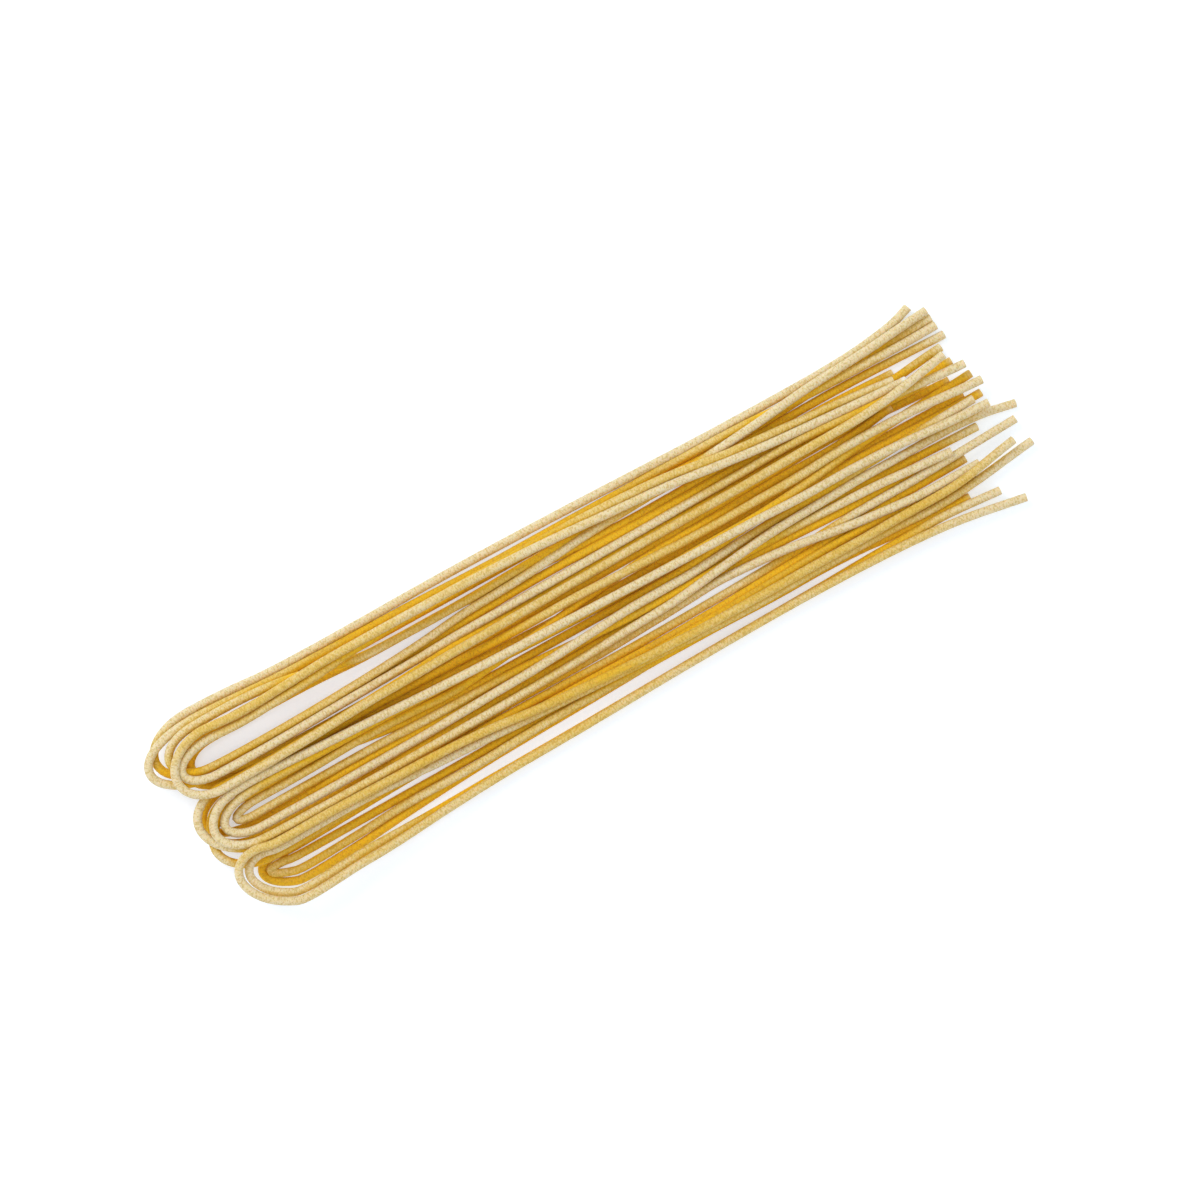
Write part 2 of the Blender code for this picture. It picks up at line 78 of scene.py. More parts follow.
# The hairpins from the lowest to the topmost, in millimetres: the group whose bends nest in one
# another, the X of the bend's far end, how far the bend leans along Y, the tones of the two legs at
# the bend and at the tip, and the points of the two legs from the bend to the tip.
HAIRPINS = (
    ("near", -111.0, 2.0, ("golden", "plain"), ("golden", "golden"),
     ((-103, -18.0), (-60, -17.0), (-20, -17.8), (20, -18.2), (50, -17.3), (80, -15.8), (108, -15.3)),
     ((-103, -26.6), (-85, -26.2), (-70, -25.0), (-45, -23.4), (0, -22.2), (40, -20.6), (70, -20.0),
      (90, -21.2), (108, -20.6))),
    ("near", -109.0, 1.5, ("amber", "plain"), ("golden", "plain"),
     ((-102, -20.4), (-70, -20.6), (-40, -20.5), (0, -19.7), (40, -19.3), (70, -18.6), (90, -18.4),
      (107, -18.3)),
     ((-102, -24.0), (-85, -23.7), (-65, -23.2), (-45, -23.0), (-25, -22.3), (0, -22.0), (40, -22.0),
      (70, -22.9), (85, -24.2), (104, -24.9))),
    ("middle", -118.4, 0.0, ("amber", "golden"), ("plain", "golden"),
     ((-106, 5.0), (-70, 3.4), (-40, 1.7), (0, 0.4), (40, 0.2), (80, 0.2), (115.9, -0.2)),
     ((-106, -7.4), (-60, -7.3), (-20, -8.2), (10, -7.8), (40, -7.0), (70, -7.8), (90, -8.5),
      (115, -9.4))),
    ("middle", -117.2, 0.0, ("golden", "golden"), ("golden", "amber"),
     ((-106, 2.6), (-80, 1.4), (-60, -0.6), (-20, -0.9), (20, -1.9), (60, -2.3), (90, -3.2),
      (104, -4.2)),
     ((-106, -11.2), (-60, -11.2), (-20, -10.4), (20, -10.0), (50, -10.6), (70, -11.5), (90, -12.0),
      (104, -12.6))),
    ("middle", -118.5, 0.0, ("golden", "amber"), ("golden", "pale"),
     ((-106, 0.4), (-80, 0.2), (-68, -2.0), (-56, -3.7), (-20, -4.2), (20, -4.1), (50, -2.4),
      (80, -1.3), (120.2, -1.6)),
     ((-104, -17.6), (-60, -15.9), (-20, -16.0), (20, -15.7), (45, -15.2), (80, -13.8), (105, -13.2),
      (124.7, -12.6))),
    ("far", -114.0, 0.0, ("golden", "amber"), ("golden", "plain"),
     ((-106, 18.2), (-75, 18.0), (-60, 17.2), (-30, 16.9), (0, 15.2), (20, 14.4), (50, 14.6),
      (80, 15.0), (102.2, 14.1)),
     ((-106, 8.6), (-60, 9.3), (-20, 10.1), (20, 10.3), (60, 10.3), (90, 9.6), (117.5, 9.3))),
    ("far", -115.4, 0.0, ("golden", "pale"), ("golden", "amber"),
     ((-106, 19.9), (-60, 20.2), (-20, 20.0), (20, 19.8), (60, 19.4), (85, 20.6), (118.4, 22.1)),
     ((-106, 6.2), (-60, 6.3), (-20, 5.6), (20, 5.5), (60, 6.6), (85, 6.8), (100, 5.9), (114.3, 5.0))),
    ("middle", -110.0, -0.3, ("amber", "golden"), ("plain", "plain"),
     ((-103, -1.6), (-75, -1.6), (-55, -2.1), (-42, -2.7), (-30, -1.7), (-10, 0.4), (10, 2.4),
      (25, 4.0), (60, 4.5), (80, 4.7), (97, 6.6)),
     ((-103, -5.9), (-50, -5.8), (-30, -6.0), (-15, -7.0), (10, -8.4), (40, -8.6), (60, -9.0),
      (80, -9.9), (95, -11.4), (105.3, -12.3))),
    ("middle", -112.9, -0.3, ("amber", "plain"), ("pale", "pale"),
     ((-103, 0.6), (-70, 0.0), (-40, -0.6), (-10, -1.2), (20, -1.8), (45, -1.9), (65, -0.8), (85, 1.4),
      (103, 3.2), (120.2, 4.1)),
     ((-103, -9.2), (-65, -8.8), (-45, -8.6), (-25, -8.0), (-5, -7.3), (15, -6.6), (35, -5.8),
      (55, -4.8), (75, -3.9), (100, -2.8), (117.3, -2.3))),
    ("far", -121.1, 0.3, ("pale", "pale"), ("amber", "golden"),
     ((-107, 27.3), (-95, 26.9), (-85, 26.1), (-70, 25.7), (-30, 25.7), (0, 25.2), (25, 24.5),
      (55, 23.7), (90, 23.7), (102, 24.7), (109, 25.9), (114.3, 27.6)),
     ((-107, 10.6), (-70, 11.2), (-40, 11.9), (-10, 12.8), (20, 12.7), (50, 12.5), (80, 11.6),
      (116.7, 13.9))),
    ("far", -123.4, 0.3, ("plain", "plain"), ("amber", "plain"),
     ((-107, 25.2), (-95, 24.6), (-85, 24.0), (-65, 23.4), (-45, 23.2), (-20, 22.4), (10, 22.0),
      (50, 21.6), (80, 20.2), (118.4, 20.1)),
     ((-107, 9.4), (-90, 5.0), (-60, 4.1), (-30, 3.8), (0, 3.0), (20, 2.6), (40, 2.3), (70, 2.5),
      (100, 2.8), (121.7, 1.2))),
    ("far", -117.6, 0.0, ("golden", "plain"), ("golden", "pale"),
     ((-108, 23.6), (-92, 23.4), (-80, 22.2), (-70, 19.8), (-60, 17.6), (-45, 17.0), (-15, 17.0),
      (10, 17.3), (60, 17.5), (90, 17.5), (119.3, 16.5)),
     ((-107, 11.2), (-85, 11.1), (-65, 11.7), (-45, 12.6), (-25, 14.2), (-5, 15.4), (15, 16.5),
      (35, 18.0), (55, 19.6), (75, 21.1), (90, 22.0), (118, 23.9))),
    ("middle", -118.9, 2.0, ("golden", "golden"), ("pale", "pale"),
     ((-105, 5.6), (-80, 5.3), (-60, 6.0), (-40, 7.4), (-20, 8.4), (20, 8.8), (60, 8.8), (85, 8.3),
      (108, 7.6)),
     ((-105, -13.4), (-75, -13.0), (-35, -12.9), (-5, -13.2), (15, -12.4), (33, -11.2), (45, -11.9),
      (55, -13.2), (65, -14.8), (75, -16.4), (90, -17.9), (110.4, -18.2))),
    ("middle", -115.9, 0.0, ("pale", "pale"), ("golden", "pale"),
     ((-104, 2.4), (-95, 2.2), (-75, 1.5), (-55, 0.6), (-35, -0.3), (-5, -1.1), (25, -1.9), (55, -2.3),
      (75, -2.9), (95, -3.5), (105, -4.1), (120.2, -5.1)),
     ((-105, -12.4), (-75, -12.7), (-45, -12.7), (-15, -12.2), (5, -11.5), (20, -10.7), (35, -9.0),
      (55, -7.3), (75, -6.2), (90, -6.5), (102, -6.3), (111, -6.5), (118, -7.2), (127, -9.0))),
    ("near", -113.2, 3.0, ("pale", "plain"), ("golden", "plain"),
     ((-104, -16.0), (-85, -15.9), (-65, -16.5), (-45, -17.7), (-25, -19.1), (-5, -20.2), (15, -21.2),
      (35, -22.0), (60, -22.1), (80, -22.2), (95, -22.6), (110, -21.6), (125.7, -19.9)),
     ((-104, -28.4), (-85, -28.1), (-65, -28.4), (-45, -28.1), (-20, -27.8), (20, -27.0), (60, -26.4),
      (80, -25.8), (95, -25.7), (111.8, -27.2))),
    ("near", -115.5, 3.8, ("amber", "amber"), ("golden", "golden"),
     ((-104, -14.4), (-85, -14.6), (-65, -15.4), (-45, -16.3), (-25, -18.0), (0, -19.6), (20, -20.5),
      (40, -20.8), (60, -20.8), (80, -20.9), (100, -20.2), (121.2, -17.2)),
     ((-104, -30.8), (-85, -30.3), (-65, -29.4), (-45, -28.5), (-15, -27.9), (15, -27.1), (45, -26.7),
      (75, -27.0), (87, -27.6), (100, -29.3), (117, -32.4))),
    ("far", -115.7, -0.3, ("golden", "golden"), ("pale", "plain"),
     ((-106, 18.2), (-95, 17.8), (-75, 18.8), (-55, 20.0), (-35, 20.9), (-5, 21.2), (15, 20.6),
      (35, 19.2), (55, 16.9), (75, 14.9), (85, 14.0), (101, 12.2)),
     ((-106, 8.8), (-85, 8.9), (-55, 9.4), (-25, 9.9), (15, 10.3), (50, 10.5), (70, 10.2), (90, 9.0),
      (119.6, 7.3))),
    ("far", -117.3, -1.0, ("amber", "pale"), ("golden", "golden"),
     ((-106, 20.9), (-95, 20.2), (-80, 20.5), (-55, 21.0), (-25, 20.9), (0, 20.1), (20, 18.9),
      (35, 17.6), (55, 15.1), (75, 12.7), (90, 11.6), (103.8, 10.9)),
     ((-106, 4.7), (-85, 5.1), (-65, 5.9), (-45, 6.4), (-15, 6.9), (15, 7.3), (55, 7.5), (80, 8.0),
      (95, 8.5), (105, 9.7), (115.5, 11.9))),
)

GROUPS = ("far", "middle", "near")

# The strands' surface.
OWN_THICKNESS = (0.96, 1.0)             # a strand's own thickness, as a share of the thickest
WAVE_LENGTHS = (31 * MM, 12.7 * MM, 5.3 * MM, 2.9 * MM, 1.7 * MM)
WAVE_HEIGHTS = (0.003, 0.004, 0.005, 0.005, 0.004)
OVAL = (0.0, 0.01)                      # how far a strand is from round
OVAL_TWIST = 40 * MM
TIP_INSET = 0.15 * MM                   # how much shorter a strand is than the solid's arch
TIP_SHARES = (0.93, 0.45)               # the two smaller rings that close a tip
TIP_PUSHES = (0.06, 0.03)
TIP_RAGGED = 0.02
TIP_PALE = 2.5 * MM                     # how far from a tip the strand is paler
WHITE_TIP = 2.2 * MM                    # how much of the topmost strand's first tip is floury white
CREASE_ANGLE = 40

# How much of the sky a point of a strand sees, which the finish paints into the colour as light and shade.
SKY_REACH = 10 * MM
SKY_SLICE = 0.8 * MM
SKY_OWN = 40                            # route steps of the strand itself that don't count
SKY_SMOOTH = 3
CROWN_SHARE = 0.6                       # how much the top of the strand decides the colour of its flanks

CRACK_SHADE = (0.80, 0.75, 0.60, 1.0)   # what the colour is multiplied by in a crack

# How golden a strand of each tone is, and how much it differs from that.
TONES = {"pale": 0.0, "plain": 0.85, "golden": 1.1, "amber": 1.5}
OWN_GOLD = 0.08
BEND_STEPS = 15                         # route steps from the bend's far end to its legs
END_DUST = 0.40                         # the share of the goldness that is lost at a tip and at the bend
END_PALE = 0.35                         # and how much paler any strand is there
END_REACH = 16 * MM
GOLD_DRIFTS = (120 * MM, 47 * MM)

# The studio.
FLOOR_SIZE = 3.0
FLOOR_GAP = 0.02 * MM
GLOW_COLOR = (0.66, 0.76, 0.87, 1.0)
KEY_SIZE = 0.7
KEY_PLACE = (-0.25, 0.75, 0.85)
FILL_SIZE = 1.2
FILL_PLACE = (0.1, -0.1, 1.5)
SKY_COLOR = (0.95, 0.97, 1.0, 1.0)
VIEW_WIDTH = 322.5 * MM                 # what the camera sees at the surface
VIEW_MIDDLE = (2.6 * MM, 1.9 * MM)


def smooth_curve(points, step):
    """A centripetal Catmull-Rom curve through the points, sampled about every step."""
    inner = np.asarray(points, dtype=float)
    points = np.vstack([2 * inner[0] - inner[1], inner, 2 * inner[-1] - inner[-2]])
    knots = np.concatenate([[0.0], np.cumsum(np.sqrt(np.linalg.norm(np.diff(points, axis=0), axis=1)))])
    pieces = []
    for i in range(1, len(points) - 2):
        count = max(2, int(np.ceil(np.linalg.norm(points[i + 1] - points[i]) / step)))
        place = np.linspace(knots[i], knots[i + 1], count, endpoint=False)[:, None]

        def between(low, high, start, end):
            return ((knots[end] - place) * low + (place - knots[start]) * high) / (knots[end] - knots[start])

        first = between(points[i - 1], points[i], i - 1, i)
        middle = between(points[i], points[i + 1], i, i + 1)
        last = between(points[i + 1], points[i + 2], i + 1, i + 2)
        early = between(first, middle, i - 1, i + 1)
        late = between(middle, last, i, i + 2)
        pieces.append(between(early, late, i, i + 1))
    pieces.append(points[-2:-1])
    return np.vstack(pieces)


def even_steps(points, step):
    """The same line with its points evenly spaced along it."""
    along = np.concatenate([[0.0], np.cumsum(np.linalg.norm(np.diff(points, axis=0), axis=1))])
    places = np.linspace(0.0, along[-1], int(round(along[-1] / step)) + 1)
    return np.column_stack([np.interp(places, along, column) for column in points.T])


def hairpin_route(bend, lean, upper, lower):
    """The line of one hairpin as seen from above, from the upper tip round the bend to the lower one."""
    middle = (upper[0][1] + lower[0][1]) / 2
    half = (upper[0][1] - lower[0][1]) / 2
    depth = (upper[0][0] + lower[0][0]) / 2 - bend
    angles = np.radians(BEND_ANGLES)
    loop = np.column_stack([bend + depth * (1 - np.sin(angles)),
                            middle + half * np.cos(angles) + lean * np.sin(angles)])
    line = np.vstack([np.array(upper[::-1], dtype=float), loop, np.array(lower, dtype=float)])
    return even_steps(smooth_curve(line * MM, ROUTE_STEP / 2), ROUTE_STEP)


def plan_directions(line):
    """The direction along the line at each point as seen from above, and the one to its left."""
    along = np.gradient(line[:, :2], axis=0)
    along /= np.linalg.norm(along, axis=1)[:, None]
    return along, np.column_stack([-along[:, 1], along[:, 0]])


def smoothed(values, width):
    """The values with a bell-shaped average along the strand."""
    reach = int(2.5 * width)
    weights = np.exp(-0.5 * (np.arange(-reach, reach + 1) / width) ** 2)
    return np.convolve(np.pad(values, reach, mode="edge"), weights / weights.sum(), mode="valid")


def support_heights(line, laid):
    """How high the strand's centre lies at each point: on the surface, or on the strands laid so far."""
    contact = CONTACT_SHARE * STRAND_DIAMETER
    heights = np.full(len(line), STRAND_RADIUS)
    block = 100
    for start in range(0, len(line), block):
        part = line[start:start + block]
        near = laid[(laid[:, 0] > part[:, 0].min() - contact) & (laid[:, 0] < part[:, 0].max() + contact)]
        if len(near) == 0:
            continue
        across = (part[:, None, 0] - near[None, :, 0]) ** 2 + (part[:, None, 1] - near[None, :, 1]) ** 2
        room = contact ** 2 - across
        resting = np.where(room > 0, near[None, :, 2] + np.sqrt(np.maximum(room, 0)), STRAND_RADIUS)
        heights[start:start + block] = np.maximum(heights[start:start + block], resting.max(axis=1))
    return heights


def slip_sideways(line, laid):
    """Roll the strand into the grooves below it: the cheapest way along it through a few side places."""
    _, side = plan_directions(line)
    ways = np.linspace(-SLIP_REACH, SLIP_REACH, SLIP_WAYS)
    costs = [support_heights(line + side * way, laid) + SLIP_STAY * way ** 2 for way in ways]
    costs = np.stack(costs, axis=1)
    turn = SLIP_TURN * (ways[:, None] - ways[None, :]) ** 2
    best = costs[0]
    choices = []
    for cost in costs[1:]:
        total = best[:, None] + turn
        choices.append(total.argmin(axis=0))
        best = total.min(axis=0) + cost
    place = best.argmin()
    places = [place]
    for choice in reversed(choices):
        place = choice[place]
        places.append(place)
    offsets = smoothed(ways[np.array(places[::-1])], SMOOTH_SLIP)
    return line + side * offsets[:, None]


def lay_hairpins():
    """Lay the hairpins one after another and return the centre line of each."""
    laid = np.empty((0, 3))
    routes = []
    for _, bend, lean, _, _, upper, lower in HAIRPINS:
        line = hairpin_route(bend, lean, upper, lower)
        if len(laid):
            line = slip_sideways(line, laid)
        heights = support_heights(line, laid)
        places = np.arange(len(line)) * ROUTE_STEP
        sag = (places[:, None] - places[None, :]) ** 2 / (2 * SPRING_RADIUS)
        heights = smoothed((heights[None, :] - sag).max(axis=1), SMOOTH_HEIGHT)
        route = np.column_stack([line, heights])
        routes.append(route)
        laid = np.vstack([laid, route])
    return routes


def sky_edges(routes):
    """How far up the sky is hidden on the left and on the right of each point of each route.

    Seen from the point, another strand's upper edge is at the angle
    atan(rise / distance) + asin(radius / distance in space), and the highest one on each side
    counts. The angles are evened along the strand.
    """
    everything = np.vstack(routes)
    owner = np.repeat(np.arange(len(routes)), [len(route) for route in routes])
    step = np.concatenate([np.arange(len(route)) for route in routes])
    block = 100
    edges = []
    for number, route in enumerate(routes):
        along, side = plan_directions(route)
        found = np.zeros((2, len(route)))
        for start in range(0, len(route), block):
            part = slice(start, start + block)
            low, high = route[part, 0].min() - SKY_REACH, route[part, 0].max() + SKY_REACH
            near = (everything[:, 0] > low) & (everything[:, 0] < high)
            gap = everything[None, near] - route[part][:, None]
            ahead = (gap[..., :2] * along[part][:, None]).sum(axis=-1)
            beside = (gap[..., :2] * side[part][:, None]).sum(axis=-1)
            steps = step[None, near] - np.arange(len(route))[part][:, None]
            other = (owner[None, near] != number) | (np.abs(steps) > SKY_OWN)
            other &= (np.abs(ahead) < SKY_SLICE) & (np.abs(beside) < SKY_REACH)
            distance = np.maximum(np.hypot(beside, gap[..., 2]), STRAND_RADIUS)
            angle = np.arctan2(gap[..., 2], np.abs(beside)) + np.arcsin(STRAND_RADIUS / distance)
            found[0, part] = np.where(other & (beside >= 0), angle, 0.0).max(axis=1)
            found[1, part] = np.where(other & (beside < 0), angle, 0.0).max(axis=1)
        found = np.clip(found, 0.0, math.pi)
        edges.append(np.stack([smoothed(angles, SKY_SMOOTH) for angles in found]))
    return edges


def sky_share(turn, left, right):
    """How much light a point of a ring gets from an even sky, from 0 to 1.

    The point faces the angle turn, from level on the left over straight up. It sees the sky from
    a = the greater of left and turn - 90 degrees to b = the lesser of 180 degrees - right and
    turn + 90 degrees, and the share is (sin(b - turn) - sin(a - turn)) / 2.
    """
    facing = (turn + math.pi / 2) % (2 * math.pi) - math.pi / 2
    low = np.maximum(left, facing - math.pi / 2)
    high = np.minimum(math.pi - right, facing + math.pi / 2)
    return np.where(high > low, (np.sin(high - facing) - np.sin(low - facing)) / 2, 0.0)


def waves(along, turn, random, lengths, heights):
    """A sum of sines along and round a strand: sin(2 pi along / length + turns round + phase)."""
    total = np.zeros(np.broadcast(along, turn).shape)
    for length, height in zip(lengths, heights):
        phase = random.uniform(0, 2 * math.pi)
        winds = random.integers(-2, 3)
        stretch = random.uniform(0.85, 1.15)
        total = total + height * np.sin(2 * math.pi * along / (length * stretch) + winds * turn + phase)
    return total


def strand_gold(route, upper_tones, lower_tones):
    """How golden the strand is at each point of its route.

    The tone goes evenly from the tip's to the bend's along each leg. With
    near = exp(-distance to the nearest tip or the bend / END_REACH), the result is
    tone * (1 - END_DUST * near) - END_PALE * near.
    """
    step = np.arange(len(route))
    bend = route[:, 0].argmin()
    places = (0, bend - BEND_STEPS, bend + BEND_STEPS, len(route) - 1)
    tones = (upper_tones[1], upper_tones[0], lower_tones[0], lower_tones[1])
    distance = np.minimum(np.minimum(step, step[::-1]), np.abs(step - bend)) * ROUTE_STEP
    near = np.exp(-distance / END_REACH)
    return np.interp(step, places, [TONES[tone] for tone in tones]) * (1 - END_DUST * near) - END_PALE * near


def strand_rings(route, edges, gold, white_tip, settings, random):
    """One strand as rings carried along its route, and what the finish reads at each of their points.

    A point of a ring is centre + radius * (cos(turn) * side + sin(turn) * up), where side is level
    and square to the strand. The radius is the strand's own, a little oval and wavy. Each tip
    closes with two smaller rings, the first a narrow chamfer and the second a dished, ragged end.
    """
    centres = even_steps(route, settings.ring_step)
    count = len(centres)
    tangent = np.gradient(centres, axis=0)
    tangent /= np.linalg.norm(tangent, axis=1)[:, None]
    centres[0] += TIP_INSET * tangent[0]
    centres[-1] -= TIP_INSET * tangent[-1]
    side = np.column_stack([-tangent[:, 1], tangent[:, 0], np.zeros(count)])
    side /= np.linalg.norm(side, axis=1)[:, None]
    up = np.cross(tangent, side)
    along = np.arange(count)[:, None] * settings.ring_step
    turn = np.linspace(0, 2 * math.pi, settings.ring_sides, endpoint=False)[None, :]

    own = settings.thickness / 2 * random.uniform(*OWN_THICKNESS)
    wavy = waves(along, turn, random, WAVE_LENGTHS, WAVE_HEIGHTS)
    oval = random.uniform(*OVAL) * np.cos(2 * turn + along / OVAL_TWIST + random.uniform(0, 2 * math.pi))
    radius = own * (1 + wavy + oval)

    ring = np.concatenate([[0] * len(TIP_SHARES), np.arange(count), [count - 1] * len(TIP_SHARES)])
    share = np.concatenate([TIP_SHARES[::-1], np.ones(count), TIP_SHARES])[:, None]
    push = np.concatenate([-np.array(TIP_PUSHES[::-1]), np.zeros(count), TIP_PUSHES])[:, None] * own
    push = push + (share < 1) * TIP_RAGGED * own * waves(0.0, turn, random, (1.0,) * 3, (1.0,) * 3)
    round_way = np.cos(turn)[..., None] * side[ring][:, None] + np.sin(turn)[..., None] * up[ring][:, None]
    places = (centres[ring][:, None] + (share * radius[ring])[..., None] * round_way
              + push[..., None] * tangent[ring][:, None])

    own_place = np.broadcast_arrays(along[ring] + push, own * np.cos(turn), own * np.sin(turn))
    own_place = np.stack(own_place, axis=-1) + random.uniform(0, 50, 3)
    steps = np.linspace(0, edges.shape[1] - 1, count)
    left, right = (np.interp(steps, np.arange(edges.shape[1]), edge)[:, None] for edge in edges)
    # The sky a point sees, which the finish paints into the colour as light and shade.
    crown = sky_share(math.pi / 2, left, right)
    sky = (CROWN_SHARE * crown + (1 - CROWN_SHARE) * sky_share(turn, left, right))[ring]
    gold = np.interp(steps, np.arange(len(gold)), gold)[:, None]
    drift = waves(along, 0.0, random, GOLD_DRIFTS, (0.10, 0.06))
    cut = np.clip(1 - np.minimum(along, along[-1] - along) / TIP_PALE, 0, 1)[ring]
    cut = np.where(share < 1, 1.0, 0.5 * cut)
    if white_tip:
        cut = cut + np.clip(2 - 2 * along[ring] / WHITE_TIP, 0, 1)
    shape = places.shape[:2]
    return places, own_place, sky, np.broadcast_to((gold + drift)[ring], shape), np.broadcast_to(cut, shape)


def grid_faces(rings, sides, first):
    """Quads between neighbouring rings, wound to face outwards, and the two end faces."""
    ring = np.arange(rings - 1)[:, None] * sides
    here = np.arange(sides)[None, :]
    after = (here + 1) % sides
    quads = np.stack([ring + here, ring + after, ring + sides + after, ring + sides + here], axis=-1)
    start = np.arange(sides)[::-1]
    end = (rings - 1) * sides + np.arange(sides)
    return first + quads.reshape(-1), first + start, first + end


def add_attribute(mesh, name, kind, values):
    layer = mesh.attributes.new(name, kind, "POINT")
    field = "vector" if kind == "FLOAT_VECTOR" else "value"
    layer.data.foreach_set(field, np.ascontiguousarray(values, dtype=np.float32).ravel())


def strands_mesh(name, strands):
    """All strands of one group in one mesh, with what the finish needs to know at each point."""
    corners = []
    sizes = []
    first = 0
    for places, *_ in strands:
        rings, sides, _ = places.shape
        quads, start, end = grid_faces(rings, sides, first)
        corners += [quads, start, end]
        sizes += [np.full(len(quads) // 4, 4), [sides], [sides]]
        first += rings * sides
    corners = np.concatenate(corners)
    sizes = np.concatenate(sizes)
    places, own_places = (np.concatenate([strand[k].reshape(-1, 3) for strand in strands]) for k in (0, 1))
    mesh = bpy.data.meshes.new(name)
    mesh.vertices.add(len(places))
    mesh.vertices.foreach_set("co", places.ravel())
    mesh.loops.add(len(corners))
    mesh.loops.foreach_set("vertex_index", corners)
    mesh.polygons.add(len(sizes))
    mesh.polygons.foreach_set("loop_start", np.concatenate([[0], np.cumsum(sizes)[:-1]]))
    mesh.update(calc_edges=True)
    mesh.shade_smooth()
    mesh.set_sharp_from_angle(angle=math.radians(CREASE_ANGLE))
    add_attribute(mesh, "own_place", "FLOAT_VECTOR", own_places)
    for k, title in ((2, "sky"), (3, "gold"), (4, "cut")):
        add_attribute(mesh, title, "FLOAT", np.concatenate([strand[k].reshape(-1) for strand in strands]))
    return mesh


class Graph:
    """A material's nodes, added and joined in one call each."""

    def __init__(self, name):
        self.material = bpy.data.materials.new(name)
        self.material.use_nodes = True
        self.nodes = self.material.node_tree.nodes
        self.links = self.material.node_tree.links
        self.shader = self.nodes["Principled BSDF"]

    def plug(self, value, socket):
        if isinstance(value, bpy.types.NodeSocket):
            self.links.new(value, socket)
        else:
            socket.default_value = value

    def attribute(self, name, output):
        node = self.nodes.new("ShaderNodeAttribute")
        node.attribute_name = name
        return node.outputs[output]

    def math(self, operation, *values):
        node = self.nodes.new("ShaderNodeMath")
        node.operation = operation
        for value, socket in zip(values, node.inputs):
            self.plug(value, socket)
        return node.outputs[0]

    def stretched(self, vector, scale):
        node = self.nodes.new("ShaderNodeVectorMath")
        node.operation = "MULTIPLY"
        self.plug(vector, node.inputs[0])
        node.inputs[1].default_value = scale
        return node.outputs[0]

    def noise(self, vector, detail=2.0, roughness=0.5, distortion=0.0):
        node = self.nodes.new("ShaderNodeTexNoise")
        self.plug(vector, node.inputs["Vector"])
        node.inputs["Scale"].default_value = 1.0
        node.inputs["Detail"].default_value = detail
        node.inputs["Roughness"].default_value = roughness
        node.inputs["Distortion"].default_value = distortion
        return node.outputs["Fac"]

    def spread(self, value, low, high, to_low=0.0, to_high=1.0):
        node = self.nodes.new("ShaderNodeMapRange")
        node.interpolation_type = "SMOOTHSTEP"
        self.plug(value, node.inputs["Value"])
        for name, number in (("From Min", low), ("From Max", high), ("To Min", to_low), ("To Max", to_high)):
            node.inputs[name].default_value = number
        return node.outputs["Result"]

    def mix(self, share, first, second, way="MIX"):
        node = self.nodes.new("ShaderNodeMix")
        node.data_type = "RGBA"
        node.blend_type = way
        self.plug(share, node.inputs["Factor"])
        self.plug(first, node.inputs["A"])
        self.plug(second, node.inputs["B"])
        return node.outputs["Result"]

    def bump(self, height, strength, distance, normal=None):
        node = self.nodes.new("ShaderNodeBump")
        self.plug(height, node.inputs["Height"])
        node.inputs["Strength"].default_value = strength
        node.inputs["Distance"].default_value = distance
        if normal is not None:
            self.links.new(normal, node.inputs["Normal"])
        return node.outputs["Normal"]


